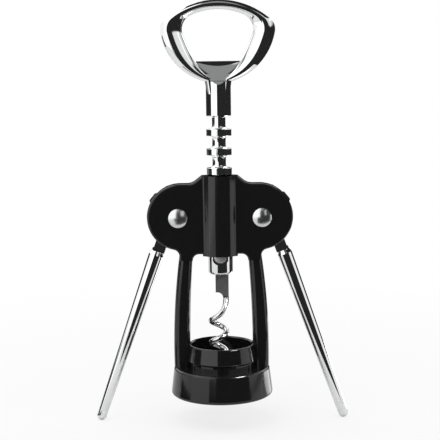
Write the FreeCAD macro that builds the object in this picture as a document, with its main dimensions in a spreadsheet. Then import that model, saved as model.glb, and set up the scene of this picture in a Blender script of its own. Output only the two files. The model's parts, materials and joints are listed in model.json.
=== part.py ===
import FreeCAD, Part
import math
import os
import Sketcher

# A wing corkscrew. +Z is up, the wings spread along X and the front faces -Y.
# The origin is the mouth of the bottle bore, at the centre of the bell's foot.

FRONT = FreeCAD.Vector(0, -1, 0)
UP = FreeCAD.Vector(0, 0, 1)

# Driving dimensions, in millimetres and degrees.
SIZES = {
    # frame casting: two cheeks on a central tube, two legs and a collar
    "pivot_half_spacing": 18.5,
    "pivot_height": 79.3,
    "lobe_radius": 14.6,
    "lobe_inset": 1.0,
    "lobe_rise": 0.3,
    "cheek_depth": 9.5,
    "cheek_edge_round": 1.0,
    "tube_radius": 8.4,
    "tube_rise": 18.3,
    "tube_drop": 16.9,
    "tube_fillet": 1.5,
    "shoulder_inset": 0.4,
    "shoulder_run": 4.35,
    "shoulder_round": 6.0,
    "crotch_round": 3.0,
    "arch_drop": 16.1,
    "arch_corner": 2.8,
    "leg_top_inner": 12.2,
    "leg_top_outer": 18.1,
    "leg_knee_height": 33.0,
    "leg_knee_inner": 13.8,
    "leg_knee_outer": 20.9,
    "leg_foot_inner": 13.9,
    "leg_foot_outer": 21.1,
    "leg_top_depth": 8.0,
    "leg_foot_depth": 9.2,
    "leg_corner": 2.8,
    "collar_top": 22.4,
    "collar_bottom": 14.8,
    "collar_top_radius": 14.8,
    "collar_bottom_radius": 16.0,
    "collar_lip_round": 0.5,
    "collar_foot_round": 0.9,
    "cork_passage_radius": 13.6,
    "spigot_radius": 15.0,
    # bell skirt, pressed on the collar's spigot
    "bell_height": 12.4,
    "bell_shoulder_radius": 21.3,
    "bell_foot_radius": 22.8,
    "bell_wall": 1.7,
    "bell_roof": 2.1,
    "bell_shoulder_round": 1.1,
    "bell_foot_round": 1.2,
    "spigot_fit": 0.03,
    # nylon ring that seats on the bottle's lip
    "bottle_bore_radius": 15.2,
    "bottle_bore_length": 8.4,
    "seat_cone_rise": 1.2,
    "seat_fit": 0.1,
    # annular rack that slides in the tube
    "ring_radius": 5.5,
    "ring_thickness": 3.0,
    "ring_pitch": 8.45,
    "ring_count": 6,
    "ring_edge_chamfer": 0.4,
    "top_ring_height": 116.5,
    "top_neck_length": 5.4,
    "rack_neck_radius": 2.95,
    "bore_clearance": 0.1,
    # handle: loop, stem and the core that runs down through the rack; a rise is counted from
    # the stem's lower end
    "stem_radius": 5.45,
    "core_radius": 1.6,
    "core_clearance": 0.05,
    "end_play": 0.1,
    "loop_half_width": 25.0,
    "loop_widest_rise": 37.4,
    "loop_top_rise": 50.3,
    "loop_corner_radius": 6.0,
    "loop_belly_radius": 26.0,
    "loop_foot_rise": 15.4,
    "loop_foot_flare": 0.5,
    "hole_half_width": 15.6,
    "hole_widest_rise": 36.9,
    "hole_top_rise": 46.2,
    "hole_corner_radius": 6.0,
    "hole_belly_radius": 24.0,
    "hole_foot_rise": 16.7,
    "hole_foot_half_width": 0.9,
    "loop_root_length": 4.0,
    "loop_root_inset": 0.3,
    "stem_top_drop": 0.6,
    "loop_top_depth": 6.4,
    "loop_foot_depth": 8.4,
    "lip_rise": 23.9,
    "lip_thickness": 2.6,
    # worm socket on the core's lower end
    "socket_neck_length": 5.35,
    "socket_length": 13.5,
    "socket_edge_round": 1.4,
    "core_engagement": 8.0,
    "worm_rivet_rise": 8.1,
    "worm_rivet_radius": 1.25,
    "worm_rivet_head_radius": 2.8,
    "worm_rivet_head_height": 0.7,
    "worm_rivet_seat": 4.3,
    "spot_face_radius": 3.8,
    "worm_rivet_fit": 0.03,
    # worm: flat tang and pointed wire helix
    "tang_width": 5.8,
    "tang_thickness": 2.4,
    "tang_offset": 0.55,
    "tang_depth": 10.4,
    "tang_reach": 8.2,
    "tang_throat": 2.5,
    "tang_clearance": 0.05,
    "wire_radius": 1.2,
    "helix_radius": 3.2,
    "helix_offset": 0.8,
    "leg_length": 5.9,
    "helix_pitch": 9.6,
    "helix_turns": 2.75,
    "point_length": 5.0,
    "point_radius": 0.12,
    "worm_station_spacing": 1.2,
    "worm_root_inset": 0.12,
    "worm_root_flare": 0.06,
    # wing levers
    "gear_thickness": 5.0,
    "gear_side_clearance": 0.25,
    "gear_teeth_per_turn": 10,
    "gear_teeth": 6,
    "gear_tip_radius": 14.6,
    "gear_root_radius": 12.6,
    "gear_backlash": 0.8,
    "gear_tip_round": 1.0,
    "gear_tooth_sink": 0.3,
    "slot_tip_clearance": 0.4,
    "wing_angle": 19.6,
    "wing_offset": 3.9,
    "neck_offset": 3.3,
    "neck_width": 5.2,
    "neck_end": 17.2,
    "neck_sink": 1.0,
    "arm_start": 19.0,
    "arm_start_radius": 3.3,
    "arm_end": 98.4,
    "arm_end_radius": 2.2,
    # pivot rivets, a pin pressed into a sleeve
    "sleeve_radius": 2.5,
    "pin_radius": 1.5,
    "pivot_clearance": 0.06,
    "press_clearance": 0.02,
    "head_radius": 4.15,
    "head_height": 1.7,
    "head_edge": 0.4,
    "sleeve_end_gap": 0.1,
}

# how finely curved lines are followed
POINTS_PER_TURN = 12
CROWN_STEPS = 9
CORNER_STEPS = 4
BELLY_STEPS = 9

# the most that a rounded corner takes of the wall it stands on
LARGEST_ROUND = 0.48

doc = FreeCAD.newDocument("wing_corkscrew")
sheet = doc.addObject("Spreadsheet::Sheet", "sizes")
for row, (alias, value) in enumerate(SIZES.items(), 1):
    sheet.set(f"A{row}", alias)
    sheet.set(f"B{row}", str(value))
    sheet.setAlias(f"B{row}", alias)
doc.recompute()


def size(text):
    """The value of an expression in which each alias of the sheet is written <alias>."""
    return float(sheet.evalExpression(bound(text)))


def bound(text):
    """An expression of the document: <alias> becomes a reference to the sheet."""
    return str(text).replace("<", "sizes.").replace(">", "")


def origin_plane(body, role):
    return next(plane for plane in body.Origin.OriginFeatures if plane.Role == role)


def new_body(label):
    body = doc.addObject("PartDesign::Body", label)
    body.Label = label
    return body


def new_sketch(body, name, role, offset=None, shift=None, turn=None):
    """A sketch on an origin plane, moved off it, along it (right, up) and turned in it."""
    sketch = body.newObject("Sketcher::SketchObject", name)
    sketch.AttachmentSupport = [(origin_plane(body, role), "")]
    sketch.MapMode = "FlatFace"
    if offset:
        sketch.setExpression("AttachmentOffset.Base.z", bound(offset))
    if shift:
        sketch.setExpression("AttachmentOffset.Base.x", bound(shift[0]))
        sketch.setExpression("AttachmentOffset.Base.y", bound(shift[1]))
    if turn:
        sketch.setExpression("AttachmentOffset.Rotation.Angle", bound(turn))
    return sketch


def bind(sketch, constraint, expression):
    index = sketch.addConstraint(constraint)
    sketch.setExpression(f"Constraints[{index}]", bound(expression))


def circle(body, name, role, centre, radius, offset=None):
    sketch = new_sketch(body, name, role, offset)
    middle = FreeCAD.Vector(size(centre[0]), size(centre[1]), 0)
    sketch.addGeometry(Part.Circle(middle, FreeCAD.Vector(0, 0, 1), size(radius)), False)
    bind(sketch, Sketcher.Constraint("DistanceX", 0, 3, middle.x), centre[0])
    bind(sketch, Sketcher.Constraint("DistanceY", 0, 3, middle.y), centre[1])
    bind(sketch, Sketcher.Constraint("Radius", 0, size(radius)), radius)
    return sketch


def outline(body, name, role, points, offset=None, shift=None, turn=None):
    """A closed outline through points (x, y).

    A point that also has a radius starts an arc to the next one. A positive radius bulges to
    the right of the way the outline runs, and a negative one to the left.
    """
    sketch = new_sketch(body, name, role, offset, shift, turn)
    corners = [FreeCAD.Vector(size(point[0]), size(point[1]), 0) for point in points]
    count = len(points)
    starts = []
    for index, point in enumerate(points):
        start = corners[index]
        end = corners[(index + 1) % count]
        if len(point) == 2:
            sketch.addGeometry(Part.LineSegment(start, end), False)
            starts.append(1)
            continue
        radius = size(point[2])
        right = (end - start).cross(UP).normalize()
        reach = math.sqrt(max(radius ** 2 - (end - start).Length ** 2 / 4, 0))
        centre = (start + end) * 0.5 - right * math.copysign(reach, radius)
        first, last = (start, end) if radius > 0 else (end, start)
        angles = [math.atan2(spot.y - centre.y, spot.x - centre.x) for spot in (first, last)]
        whole = Part.Circle(centre, UP, abs(radius))
        sketch.addGeometry(Part.ArcOfCircle(whole, *angles), False)
        starts.append(1 if radius > 0 else 2)
    for index in range(count):
        after = (index + 1) % count
        sketch.addConstraint(
            Sketcher.Constraint("Coincident", index, 3 - starts[index], after, starts[after])
        )
    for index, (point, corner) in enumerate(zip(points, corners)):
        start = starts[index]
        bind(sketch, Sketcher.Constraint("DistanceX", index, start, corner.x), point[0])
        bind(sketch, Sketcher.Constraint("DistanceY", index, start, corner.y), point[1])
        if len(point) == 3:
            radius = point[2].lstrip("-")
            bind(sketch, Sketcher.Constraint("Radius", index, size(radius)), radius)
    return sketch


def feature(body, kind, name, profile):
    result = body.newObject(f"PartDesign::{kind}", name)
    result.Profile = profile
    return result


def pad(body, name, profile, length, midplane=False, reverse=False):
    result = feature(body, "Pad", name, profile)
    result.setExpression("Length", bound(length))
    result.Midplane = midplane
    result.Reversed = reverse
    return result


def pocket(body, name, profile, length=None, midplane=False, reverse=False):
    """A cut that has to take material away: through everything if it has no length."""
    doc.recompute()
    before = body.Shape.Volume
    result = feature(body, "Pocket", name, profile)
    if length is None:
        result.Type = "ThroughAll"
    else:
        result.setExpression("Length", bound(length))
    result.Midplane = midplane
    result.Reversed = reverse
    doc.recompute()
    if body.Shape.Volume > before - 1e-3:
        raise ValueError(f"{body.Label}: {name} cuts nothing")
    return result


def revolve(body, name, profile, axis="V_Axis", kind="Revolution"):
    result = feature(body, kind, name, profile)
    result.ReferenceAxis = (profile, [axis])
    result.Angle = 360
    return result


def groove(body, name, profile, axis="V_Axis"):
    """A turned cut that has to take material away."""
    doc.recompute()
    before = body.Shape.Volume
    result = revolve(body, name, profile, axis, "Groove")
    doc.recompute()
    if body.Shape.Volume > before - 1e-3:
        raise ValueError(f"{body.Label}: {name} cuts nothing")
    return result


def dome_radius(rim_radius, height):
    """Radius of the arc from a dome's rim to its middle."""
    return f"({rim_radius} ^ 2 + {height} ^ 2) / (2 * {height})"


def mirror_sides(body, name, originals):
    result = body.newObject("PartDesign::Mirrored", name)
    result.Originals = originals
    result.MirrorPlane = (origin_plane(body, "YZ_Plane"), [""])
    body.Tip = result
    doc.recompute()
    return result


def round_edges(body, name, radius, wanted, kind="Fillet"):
    """Round (or chamfer) the edges of the body that the test wanted(edge) picks."""
    doc.recompute()
    tip = body.Tip
    names = [f"Edge{number}" for number, edge in enumerate(tip.Shape.Edges, 1) if wanted(edge)]
    if not names:
        raise ValueError(f"{body.Label}: {name} finds no edge")
    result = body.newObject(f"PartDesign::{kind}", name)
    result.Base = (tip, names)
    result.setExpression("Radius" if kind == "Fillet" else "Size", bound(radius))
    doc.recompute()
    return result


def is_ring(edge, radius, height):
    """A whole circle about the body's Z axis with this radius, at this height."""
    curve = edge.Curve
    return (
        isinstance(curve, Part.Circle)
        and abs(curve.Radius - radius) < 1e-3
        and abs(curve.Center.z - height) < 1e-3
        and math.hypot(curve.Center.x, curve.Center.y) < 1e-3
    )


def both_sides(right_side):
    """The right half of an outline, then its mirror image on the left."""
    left_side = []
    for index in range(len(right_side) - 1, -1, -1):
        x, z = right_side[index][:2]
        point = [f"-({x})", z]
        if index and len(right_side[index - 1]) == 3:
            point.append(right_side[index - 1][2])
        left_side.append(tuple(point))
    return right_side + left_side


def leg_section(body, name, height, inner, outer, depth):
    """A rectangle with rounded corners, across the right leg."""
    half = f"({depth}) / 2"
    corner = f"min(<leg_corner>; {LARGEST_ROUND} * ({outer} - {inner}))"
    points = [
        (f"{inner} + {corner}", f"-{half}"),
        (f"{outer} - {corner}", f"-{half}", corner),
        (outer, f"-{half} + {corner}"),
        (outer, f"{half} - {corner}", corner),
        (f"{outer} - {corner}", half),
        (f"{inner} + {corner}", half, corner),
        (inner, f"{half} - {corner}"),
        (inner, f"-{half} + {corner}", corner),
    ]
    return outline(body, name, "XY_Plane", points, offset=height)


# the tube's ends and the arch between the legs are set from the pivots
TUBE_TOP = "(<pivot_height> + <tube_rise>)"
TUBE_BOTTOM = "(<pivot_height> - <tube_drop>)"
ARCH_HEIGHT = "(<pivot_height> - <arch_drop>)"


def make_frame_casting():
    body = new_body("frame_casting")
    pivot = ("<pivot_half_spacing>", "<pivot_height>")

    # head: two round lobes, sloping shoulders up to the tube, and an arch between the legs
    lobe_x = "(<pivot_half_spacing> - <lobe_inset>)"
    lobe_z = "(<pivot_height> + <lobe_rise>)"
    crotch_x = "(<leg_top_outer> + <crotch_round>)"
    crotch_reach = "(<lobe_radius> + <crotch_round>)"
    crotch_drop = f"sqrt({crotch_reach} ^ 2 - ({crotch_x} - {lobe_x}) ^ 2)"
    share = f"(<lobe_radius> / {crotch_reach})"
    leg_bottom = f"({ARCH_HEIGHT} - <arch_corner>)"
    lobe_top = f"({lobe_z} + <lobe_radius>)"
    shoulder_x = "(<tube_radius> - <shoulder_inset>)"
    drop = f"({TUBE_TOP} - {lobe_top})"
    slope = f"sqrt(<shoulder_run> ^ 2 + {drop} ^ 2)"
    bend = f"(<shoulder_round> * ({slope} - <shoulder_run>) / {drop})"
    right_side = [
        (shoulder_x, TUBE_TOP),
        (
            f"{shoulder_x} + <shoulder_run> * (1 - {bend} / {slope})",
            f"{lobe_top} + {drop} * {bend} / {slope}",
            "<shoulder_round>",
        ),
        (f"{shoulder_x} + <shoulder_run> + {bend}", lobe_top),
        (lobe_x, lobe_top, "-<lobe_radius>"),
        (f"{lobe_x} + <lobe_radius>", lobe_z, "-<lobe_radius>"),
        (
            f"{lobe_x} + ({crotch_x} - {lobe_x}) * {share}",
            f"{lobe_z} - {crotch_drop} * {share}",
            "<crotch_round>",
        ),
        ("<leg_top_outer>", f"{lobe_z} - {crotch_drop}"),
        ("<leg_top_outer>", leg_bottom),
        ("<leg_top_inner>", leg_bottom, "<arch_corner>"),
        ("<leg_top_inner> - <arch_corner>", ARCH_HEIGHT),
    ]
    head = outline(body, "head_outline", "XZ_Plane", both_sides(right_side))
    pad(body, "head", head, "<cheek_depth>", midplane=True)
    face = size("<cheek_depth>") / 2
    lowest = size(leg_bottom)
    highest = size(TUBE_TOP)
    round_edges(
        body, "cheek_round", "<cheek_edge_round>",
        lambda edge: abs(abs(edge.CenterOfMass.y) - face) < 1e-3
        and lowest + 1e-3 < edge.CenterOfMass.z < highest - 1e-3,
    )

    # legs, from the top of the bell to the arch, with a knee where they turn upright
    leg = feature(
        body,
        "AdditiveLoft",
        "right_leg",
        leg_section(
            body, "leg_foot", "<bell_height>", "<leg_foot_inner>", "<leg_foot_outer>",
            "<leg_foot_depth>",
        ),
    )
    leg.Sections = [
        leg_section(
            body, "leg_knee", "<leg_knee_height>", "<leg_knee_inner>", "<leg_knee_outer>",
            "(<leg_foot_depth> + <leg_top_depth>) / 2",
        ),
        leg_section(
            body, "leg_top", ARCH_HEIGHT, "<leg_top_inner>", "<leg_top_outer>",
            "<leg_top_depth>",
        ),
    ]
    mirror_sides(body, "legs", [leg])

    # tube that guides the rack, with a fillet where it leaves each cheek
    cheek = "(<cheek_depth> / 2)"
    reach = "(<tube_radius> + <tube_fillet>)"
    fillet_x = f"sqrt({reach} ^ 2 - ({cheek} + <tube_fillet>) ^ 2)"
    touch_x = f"({fillet_x} * <tube_radius> / {reach})"
    touch_y = f"(({cheek} + <tube_fillet>) * <tube_radius> / {reach})"
    front = [
        (f"-{fillet_x}", f"-{cheek}", "-<tube_fillet>"),
        (f"-{touch_x}", f"-{touch_y}", "<tube_radius>"),
        (touch_x, f"-{touch_y}", "-<tube_fillet>"),
        (fillet_x, f"-{cheek}"),
    ]
    back = [
        (fillet_x, cheek, "-<tube_fillet>"),
        (touch_x, touch_y, "<tube_radius>"),
        (f"-{touch_x}", touch_y, "-<tube_fillet>"),
        (f"-{fillet_x}", cheek),
    ]
    tube = outline(body, "tube_outline", "XY_Plane", front + back, TUBE_BOTTOM)
    pad(body, "tube", tube, "<tube_rise> + <tube_drop>")

    # collar round the cork passage, and the spigot below it that holds the bell
    lip_round = "<collar_lip_round>"
    foot_round = "<collar_foot_round>"
    taper = (
        "((<collar_bottom_radius> - <collar_top_radius>) / (<collar_top> - <collar_bottom>))"
    )
    collar = outline(
        body,
        "collar_section",
        "XZ_Plane",
        [
            ("<cork_passage_radius>", "<bell_height> - <bell_roof>"),
            ("<spigot_radius>", "<bell_height> - <bell_roof>"),
            ("<spigot_radius>", "<collar_bottom>"),
            (f"<collar_bottom_radius> - {foot_round}", "<collar_bottom>", foot_round),
            (
                f"<collar_bottom_radius> - {taper} * {foot_round}",
                f"<collar_bottom> + {foot_round}",
            ),
            (
                f"<collar_top_radius> + {taper} * {lip_round}",
                f"<collar_top> - {lip_round}",
                lip_round,
            ),
            (f"<collar_top_radius> - {lip_round}", "<collar_top>"),
            (f"<cork_passage_radius> + {lip_round}", "<collar_top>"),
            ("<cork_passage_radius>", f"<collar_top> - {lip_round}"),
        ],
    )
    revolve(body, "collar", collar)

    # bore for the rack, slots for the gear heads and holes for the rivets
    bore = circle(
        body, "bore_outline", "XY_Plane", ("0", "0"), "<ring_radius> + <bore_clearance>",
        TUBE_TOP,
    )
    pocket(body, "bore", bore)
    slot = circle(
        body, "slot_outline", "XZ_Plane", pivot, "<gear_tip_radius> + <slot_tip_clearance>"
    )
    slot_cut = pocket(
        body, "slot", slot, "<gear_thickness> + 2 * <gear_side_clearance>", midplane=True
    )
    mirror_sides(body, "slots", [slot_cut])
    hole = circle(body, "pivot_hole", "XZ_Plane", pivot, "<sleeve_radius> + <pivot_clearance>")
    hole_cut = pocket(body, "pivot", hole, "<cheek_depth>", midplane=True)
    mirror_sides(body, "pivots", [hole_cut])
    return body


def bell_inner_radius(height):
    """Radius of the bell's inside at a height, from its tapered outside and its wall."""
    rise = "(<bell_shoulder_radius> - <bell_foot_radius>) / <bell_height>"
    return f"(<bell_foot_radius> + {rise} * ({height}) - <bell_wall>)"


def make_bell():
    body = new_body("bell_skirt")
    roof = "(<bell_height> - <bell_roof>)"
    section = outline(
        body,
        "bell_section",
        "XZ_Plane",
        [
            ("<spigot_radius> + <spigot_fit>", "<bell_height>"),
            ("<spigot_radius> + <spigot_fit>", roof),
            (bell_inner_radius(roof), roof),
            (bell_inner_radius("0"), "0"),
            ("<bell_foot_radius>", "0"),
            ("<bell_shoulder_radius>", "<bell_height>"),
        ],
    )
    revolve(body, "bell", section)
    round_edges(
        body, "shoulder_round", "<bell_shoulder_round>",
        lambda edge: is_ring(edge, size("<bell_shoulder_radius>"), size("<bell_height>")),
    )
    round_edges(
        body, "foot_round", "<bell_foot_round>",
        lambda edge: is_ring(edge, size("<bell_foot_radius>"), 0),
    )
    return body


def make_seat():
    body = new_body("bottle_seat")
    top = "(<bell_height> - <bell_roof> - <seat_fit>)"
    section = outline(
        body,
        "seat_section",
        "XZ_Plane",
        [
            ("<bottle_bore_radius>", "0"),
            (f"{bell_inner_radius('0')} - <seat_fit>", "0"),
            (f"{bell_inner_radius(top)} - <seat_fit>", top),
            ("<cork_passage_radius>", top),
            ("<cork_passage_radius>", "<bottle_bore_length> + <seat_cone_rise>"),
            ("<bottle_bore_radius>", "<bottle_bore_length>"),
        ],
    )
    revolve(body, "seat", section)
    return body


# the rack's ends; the handle's stem stands just above it, and the socket's neck just below it
RACK_TOP = "(<top_ring_height> + <ring_thickness> / 2 + <top_neck_length>)"
RACK_BOTTOM = "(<top_ring_height> - (<ring_count> - 1) * <ring_pitch> - <ring_thickness> / 2)"
STEM_BOTTOM = f"({RACK_TOP} + <end_play>)"
SOCKET_NECK_TOP = f"({RACK_BOTTOM} - <end_play>)"

# the socket's wide part, its cross rivet, and the worm that hangs in it
SOCKET_TOP = f"({SOCKET_NECK_TOP} - <socket_neck_length>)"
SOCKET_BOTTOM = f"({SOCKET_TOP} - <socket_length>)"
WORM_RIVET_HEIGHT = f"({SOCKET_BOTTOM} + <worm_rivet_rise>)"
TANG_TOP = f"({SOCKET_BOTTOM} + <tang_depth>)"
TANG_BOTTOM = f"({SOCKET_BOTTOM} - <tang_reach>)"
LEG_TOP = f"({TANG_BOTTOM} - <tang_throat>)"
HELIX_TOP = f"({LEG_TOP} - <leg_length>)"


def make_rack():
    body = new_body("rack_sleeve")
    neck = circle(body, "neck_outline", "XY_Plane", ("0", "0"), "<rack_neck_radius>", RACK_BOTTOM)
    pad(body, "neck", neck, f"{RACK_TOP} - {RACK_BOTTOM}")
    edge = "<ring_edge_chamfer>"
    last = "<top_ring_height> - <ring_thickness> / 2"
    ring = outline(
        body,
        "ring_section",
        "XZ_Plane",
        [
            ("<rack_neck_radius> / 2", last),
            (f"<ring_radius> - {edge}", last),
            ("<ring_radius>", f"{last} + {edge}"),
            ("<ring_radius>", f"{last} + <ring_thickness> - {edge}"),
            (f"<ring_radius> - {edge}", f"{last} + <ring_thickness>"),
            ("<rack_neck_radius> / 2", f"{last} + <ring_thickness>"),
        ],
    )
    ring_turn = revolve(body, "ring", ring)
    rings = body.newObject("PartDesign::LinearPattern", "rings")
    rings.Originals = [ring_turn]
    rings.Direction = (ring, ["V_Axis"])
    rings.Reversed = True
    rings.setExpression("Length", bound("(<ring_count> - 1) * <ring_pitch>"))
    rings.setExpression("Occurrences", bound("<ring_count>"))
    body.Tip = rings
    doc.recompute()
    bore = circle(
        body, "core_bore_outline", "XY_Plane", ("0", "0"), "<core_radius> + <core_clearance>",
        RACK_BOTTOM,
    )
    pocket(body, "core_bore", bore, reverse=True)
    return body


def make_socket():
    body = new_body("worm_socket")
    section = outline(
        body,
        "socket_section",
        "XZ_Plane",
        [
            ("0", SOCKET_BOTTOM),
            ("<ring_radius> - <socket_edge_round>", SOCKET_BOTTOM, "<socket_edge_round>"),
            ("<ring_radius>", f"{SOCKET_BOTTOM} + <socket_edge_round>"),
            ("<ring_radius>", SOCKET_TOP),
            ("<rack_neck_radius>", SOCKET_TOP),
            ("<rack_neck_radius>", SOCKET_NECK_TOP),
            ("0", SOCKET_NECK_TOP),
        ],
    )
    revolve(body, "socket", section)
    bore = circle(
        body, "core_seat_outline", "XY_Plane", ("0", "0"), "<core_radius>", SOCKET_NECK_TOP
    )
    pocket(body, "core_seat", bore, "<core_engagement>")
    half_width = "(<tang_width> / 2 + <tang_clearance>)"
    half_thickness = "(<tang_thickness> / 2 + <tang_clearance>)"
    slot = outline(
        body,
        "tang_slot_outline",
        "XY_Plane",
        [
            (f"<tang_offset> - {half_width}", f"-{half_thickness}"),
            (f"<tang_offset> + {half_width}", f"-{half_thickness}"),
            (f"<tang_offset> + {half_width}", half_thickness),
            (f"<tang_offset> - {half_width}", half_thickness),
        ],
        SOCKET_BOTTOM,
    )
    pocket(
        body, "tang_slot", slot, f"{TANG_TOP} + <tang_clearance> - {SOCKET_BOTTOM}", reverse=True
    )
    hole = "<worm_rivet_radius> + <worm_rivet_fit>"
    spot = "<spot_face_radius>"
    cross = outline(
        body,
        "cross_hole_section",
        "YZ_Plane",
        [
            ("-2 * <ring_radius>", "0"),
            ("2 * <ring_radius>", "0"),
            ("2 * <ring_radius>", spot),
            ("<worm_rivet_seat>", spot),
            ("<worm_rivet_seat>", hole),
            ("-<worm_rivet_seat>", hole),
            ("-<worm_rivet_seat>", spot),
            ("-2 * <ring_radius>", spot),
        ],
        shift=("0", WORM_RIVET_HEIGHT),
    )
    groove(body, "cross_hole", cross, "H_Axis")
    return body


def make_worm_rivet():
    """The cross rivet: a shank with a low dome at each end, in the socket's spot faces."""
    body = new_body("worm_rivet")
    end = "(<worm_rivet_seat> + <worm_rivet_head_height>)"
    rim = "(<worm_rivet_seat> + <worm_rivet_head_height> / 2)"
    crown = dome_radius("<worm_rivet_head_radius>", "(<worm_rivet_head_height> / 2)")
    section = outline(
        body,
        "worm_rivet_section",
        "YZ_Plane",
        [
            (f"-{end}", "0"),
            (end, "0", crown),
            (rim, "<worm_rivet_head_radius>"),
            ("<worm_rivet_seat>", "<worm_rivet_head_radius>"),
            ("<worm_rivet_seat>", "<worm_rivet_radius>"),
            ("-<worm_rivet_seat>", "<worm_rivet_radius>"),
            ("-<worm_rivet_seat>", "<worm_rivet_head_radius>"),
            (f"-{rim}", "<worm_rivet_head_radius>", crown),
        ],
        shift=("0", WORM_RIVET_HEIGHT),
    )
    revolve(body, "worm_rivet_turn", section, "H_Axis")
    return body


def feature_shape(label, shape):
    """A document object for a form that no sketch feature makes."""
    result = doc.addObject("Part::Feature", label)
    result.Label = label
    result.Shape = shape
    return result


def smooth_tube(ovals):
    """A closed skin drawn smoothly along ovals (middle, half width, half depth).

    Each oval is an exact ellipse of eight quarter-arc control points, and the skin's own
    control points are those of the ovals.
    """
    square = [(1, 0), (1, 1), (0, 1), (-1, 1), (-1, 0), (-1, -1), (0, -1), (1, -1), (1, 0)]
    weights = [1, math.sqrt(0.5)] * 4 + [1]
    poles = [[middle + wide * x + deep * y for x, y in square] for middle, wide, deep in ovals]
    spans = len(ovals) - 3
    skin = Part.BSplineSurface()
    skin.buildFromPolesMultsKnots(
        poles,
        [4] + [1] * (spans - 1) + [4],
        [3, 2, 2, 2, 3],
        [float(knot) for knot in range(spans + 1)],
        [float(knot) for knot in range(5)],
        False,
        False,
        3,
        2,
        [weights] * len(ovals),
    )
    side = skin.toShape()
    ends = [Part.Face(Part.Wire(edge)) for edge in side.Edges if edge.isClosed()]
    tube = Part.Solid(Part.Shell([side] + ends))
    tube.fix(1e-5, 1e-5, 1e-5)
    return tube


def helix_point(turn):
    """A point of the worm's centre line, with turn counted down from the top of the coil."""
    angle = -2 * math.pi * turn
    radius = size("<helix_radius>")
    height = size(HELIX_TOP) - size("<helix_pitch>") * turn
    middle = -size("<helix_offset>")
    return FreeCAD.Vector(middle + radius * math.cos(angle), radius * math.sin(angle), height)


def make_worm():
    """Flat tang, a leg at its right edge, and the coil with its drawn-out point."""
    wire = size("<wire_radius>")
    width = size("<tang_width>")
    thick = size("<tang_thickness>")
    leg_top = size(LEG_TOP)
    turns = size("<helix_turns>")
    right = size("<tang_offset>") + width / 2
    leg_x = right - wire
    leg = [
        FreeCAD.Vector(leg_x, 0, leg_top + wire),
        FreeCAD.Vector(leg_x, 0, leg_top),
        FreeCAD.Vector(leg_x, 0, (leg_top + size(HELIX_TOP)) / 2),
    ]
    steps = round(turns * POINTS_PER_TURN)
    line = Part.BSplineCurve()
    line.interpolate(leg + [helix_point(turns * step / steps) for step in range(1, steps + 1)])

    # discs along the line, each turned as little as it can be from the one before
    length = line.length()
    count = round(length / size("<worm_station_spacing>"))
    across = FreeCAD.Vector(1, 0, 0)
    discs = []
    for step in range(count + 1):
        along = length * step / count
        parameter = line.parameterAtDistance(along)
        forward = line.tangent(parameter)[0]
        across = (across - forward * across.dot(forward)).normalize()
        root = thick / 2 - size("<worm_root_inset>") + along * size("<worm_root_flare>")
        tip = (length - along) / size("<point_length>") * wire
        radius = min(wire, root, max(tip, size("<point_radius>")))
        discs.append((line.value(parameter), across * radius, forward.cross(across) * radius))
    coil = smooth_tube(discs)

    # the tang narrows to the wire in a quarter-round throat on its left
    top = size(TANG_TOP)
    bottom = size(TANG_BOTTOM)
    throat = bottom - leg_top
    wire_left = leg_x - thick / 2 + size("<worm_root_inset>")
    corners = [
        FreeCAD.Vector(wire_left, -thick / 2, leg_top),
        FreeCAD.Vector(right, -thick / 2, leg_top),
        FreeCAD.Vector(right, -thick / 2, top),
        FreeCAD.Vector(right - width, -thick / 2, top),
        FreeCAD.Vector(right - width, -thick / 2, bottom),
        FreeCAD.Vector(wire_left - throat, -thick / 2, bottom),
    ]
    middle = FreeCAD.Vector(wire_left - throat, -thick / 2, leg_top)
    bulge = middle + FreeCAD.Vector(throat, 0, throat) * math.sqrt(0.5)
    curve = Part.Arc(corners[-1], bulge, corners[0]).toShape()
    border = Part.Wire(Part.makePolygon(corners).Edges + [curve])
    tang = Part.Face(border).extrude(FreeCAD.Vector(0, thick, 0))
    hole = Part.makeCylinder(
        size("<worm_rivet_radius>") + size("<worm_rivet_fit>"),
        2 * width,
        FreeCAD.Vector(0, width, size(WORM_RIVET_HEIGHT)),
        FRONT,
    )
    return feature_shape("worm", tang.cut(hole).fuse(coil))


def loop_stations(half_width, widest, top, corner, foot_x, foot_z, belly):
    """Points down the right half of a rounded loop, from its top to its foot.

    The loop is three arcs, each tangent to the next: a wide one over the top, a tight corner
    at the widest place and a belly that runs in to the foot.
    """
    run = half_width - corner
    rise = top - widest
    crown = (run ** 2 + rise ** 2 - corner ** 2) / (2 * (rise - corner))
    crown_centre = (0, top - crown)
    corner_centre = (run, widest)
    gap_x = foot_x - corner_centre[0]
    gap_z = foot_z - corner_centre[1]
    gap = math.hypot(gap_x, gap_z)
    near = belly - corner
    along = (near ** 2 - belly ** 2 + gap ** 2) / (2 * gap)
    aside = math.sqrt(max(near ** 2 - along ** 2, 0))
    belly_centre = (
        corner_centre[0] + (gap_x * along + gap_z * aside) / gap,
        corner_centre[1] + (gap_z * along - gap_x * aside) / gap,
    )
    crown_end = math.atan2(corner_centre[1] - crown_centre[1], corner_centre[0])
    corner_end = math.atan2(
        corner_centre[1] - belly_centre[1], corner_centre[0] - belly_centre[0]
    )
    belly_end = math.atan2(foot_z - belly_centre[1], foot_x - belly_centre[0])
    arcs = [
        (crown_centre, crown, math.pi / 2, crown_end, CROWN_STEPS),
        (corner_centre, corner, crown_end, corner_end, CORNER_STEPS),
        (belly_centre, belly, corner_end, belly_end, BELLY_STEPS),
    ]
    stations = []
    for centre, radius, first, last, steps in arcs:
        for step in range(steps):
            angle = first + (last - first) * step / steps
            stations.append(
                (centre[0] + radius * math.cos(angle), centre[1] + radius * math.sin(angle))
            )
    stations.append((foot_x, foot_z))
    return stations


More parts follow.
